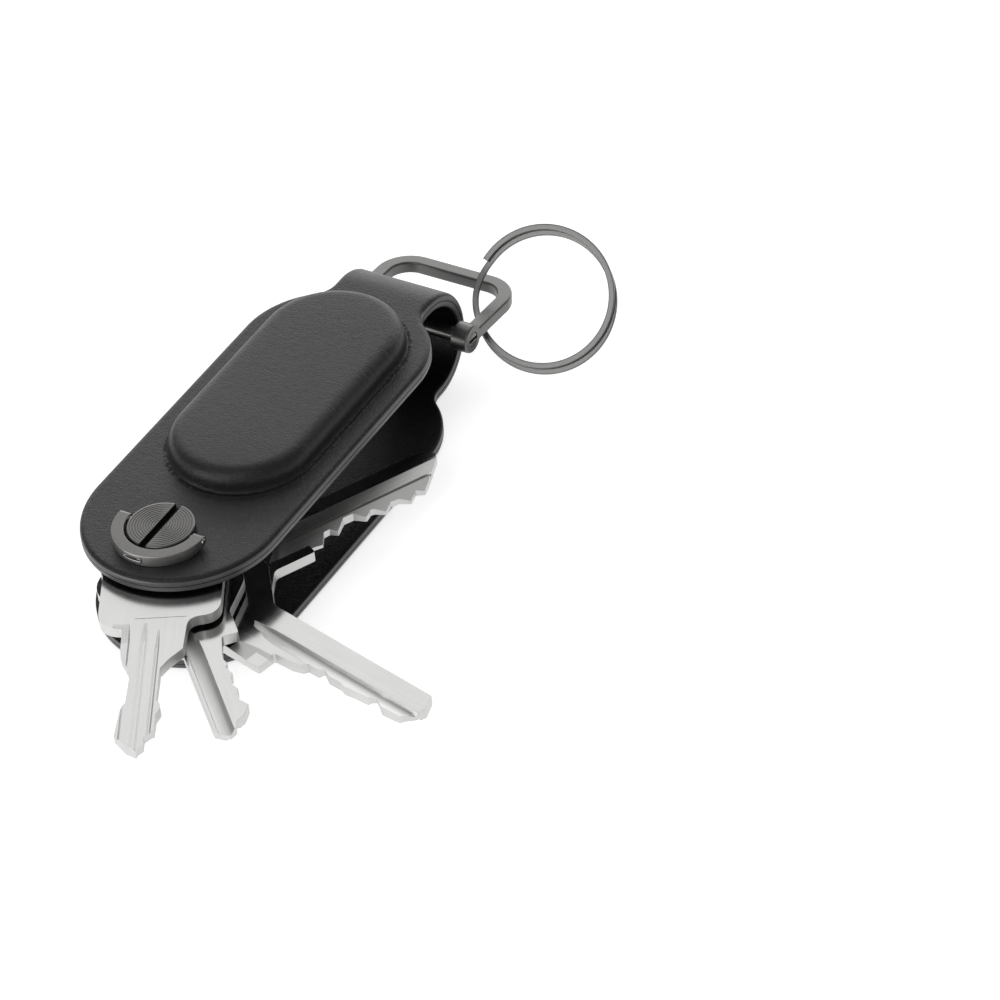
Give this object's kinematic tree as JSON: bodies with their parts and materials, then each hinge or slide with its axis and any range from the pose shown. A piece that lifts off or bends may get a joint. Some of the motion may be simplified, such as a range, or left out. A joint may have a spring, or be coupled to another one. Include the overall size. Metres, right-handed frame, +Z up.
{
  "type": "key organizer",
  "caption": "Folded leather key organizer: keys fan out between its panels on a clamp-screw post with a folding bail; a D-ring and a split ring hang in its loop.",
  "frame": {"origin": "on the clamp post's axis, on the plane that the organizer rests on", "axes": "+Z up along the post, +Y from the post towards the loop and the D-ring, +X to the right of someone who looks along +Y"},
  "size_m": [0.0814, 0.1598, 0.0273],
  "materials": {
    "leather": "fine grain, satin",
    "lining": "matt",
    "core": "matt",
    "gunmetal": "satin, plated gunmetal",
    "steel": "satin",
    "nickel": "bright nickel"
  },
  "bodies": {
    "strap": {"leather_outer": "leather", "leather_lining": "lining", "pod_core": "core", "barrel_post": "gunmetal", "spacer_base": "steel", "spacer_top": "steel", "spacer_1": "steel", "spacer_2": "steel", "spacer_3": "steel", "spacer_4": "steel"},
    "key_1": {"key_1": "nickel"},
    "key_2": {"key_2": "nickel"},
    "key_3": {"key_3": "nickel"},
    "key_4": {"key_4": "nickel"},
    "key_5": {"key_5": "nickel"},
    "screw_washer": {"spring_washer": "steel"},
    "clamp_screw": {"clamp_screw": "gunmetal", "bail_pin_right": "steel", "bail_pin_left": "steel"},
    "bail": {"bail": "gunmetal"},
    "d_ring": {"d_ring": "gunmetal", "loop_pin": "steel"},
    "split_ring": {"split_ring": "gunmetal"}
  },
  "joints": [
    {"name": "key_1_turn", "type": "hinge", "parent": "strap", "child": "key_1", "pos_m": [0, 0, 0.01795], "axis": [0, 0, 1], "continuous": true},
    {"name": "key_2_turn", "type": "hinge", "parent": "strap", "child": "key_2", "pos_m": [0, 0, 0.01495], "axis": [0, 0, 1], "continuous": true},
    {"name": "key_3_turn", "type": "hinge", "parent": "strap", "child": "key_3", "pos_m": [0, 0, 0.01195], "axis": [0, 0, 1], "continuous": true},
    {"name": "key_4_turn", "type": "hinge", "parent": "strap", "child": "key_4", "pos_m": [0, 0, 0.00895], "axis": [0, 0, 1], "continuous": true},
    {"name": "key_5_turn", "type": "hinge", "parent": "strap", "child": "key_5", "pos_m": [0, 0, 0.00595], "axis": [0, 0, 1], "continuous": true},
    {"name": "screw_lift", "type": "slide", "parent": "strap", "child": "screw_washer", "axis": [0, 0, 1], "range_m": [0, 0.0061]},
    {"name": "screw_turn", "type": "hinge", "parent": "screw_washer", "child": "clamp_screw", "pos_m": [0, 0, 0.02292], "axis": [0, 0, 1], "range_deg": [0, 2700]},
    {"name": "bail_lift", "type": "hinge", "parent": "clamp_screw", "child": "bail", "pos_m": [0, 0, 0.02392], "axis": [-1, 0, 0], "range_deg": [0, 180]},
    {"name": "d_ring_swing", "type": "hinge", "parent": "strap", "child": "d_ring", "pos_m": [0.0008, 0.0853, 0.01125], "axis": [1, 0, 0], "range_deg": [-70, 80]},
    {"name": "split_ring_swing", "type": "hinge", "parent": "d_ring", "child": "split_ring", "pos_m": [0.0139, 0.10039, 0.00977], "axis": [-0.342, 0.9352, -0.0917], "range_deg": [-45, 45]}
  ],
  "couplings": [
    {"joint": "screw_lift", "follows": "screw_turn", "m_per_rad": 0.00012732}
  ]
}
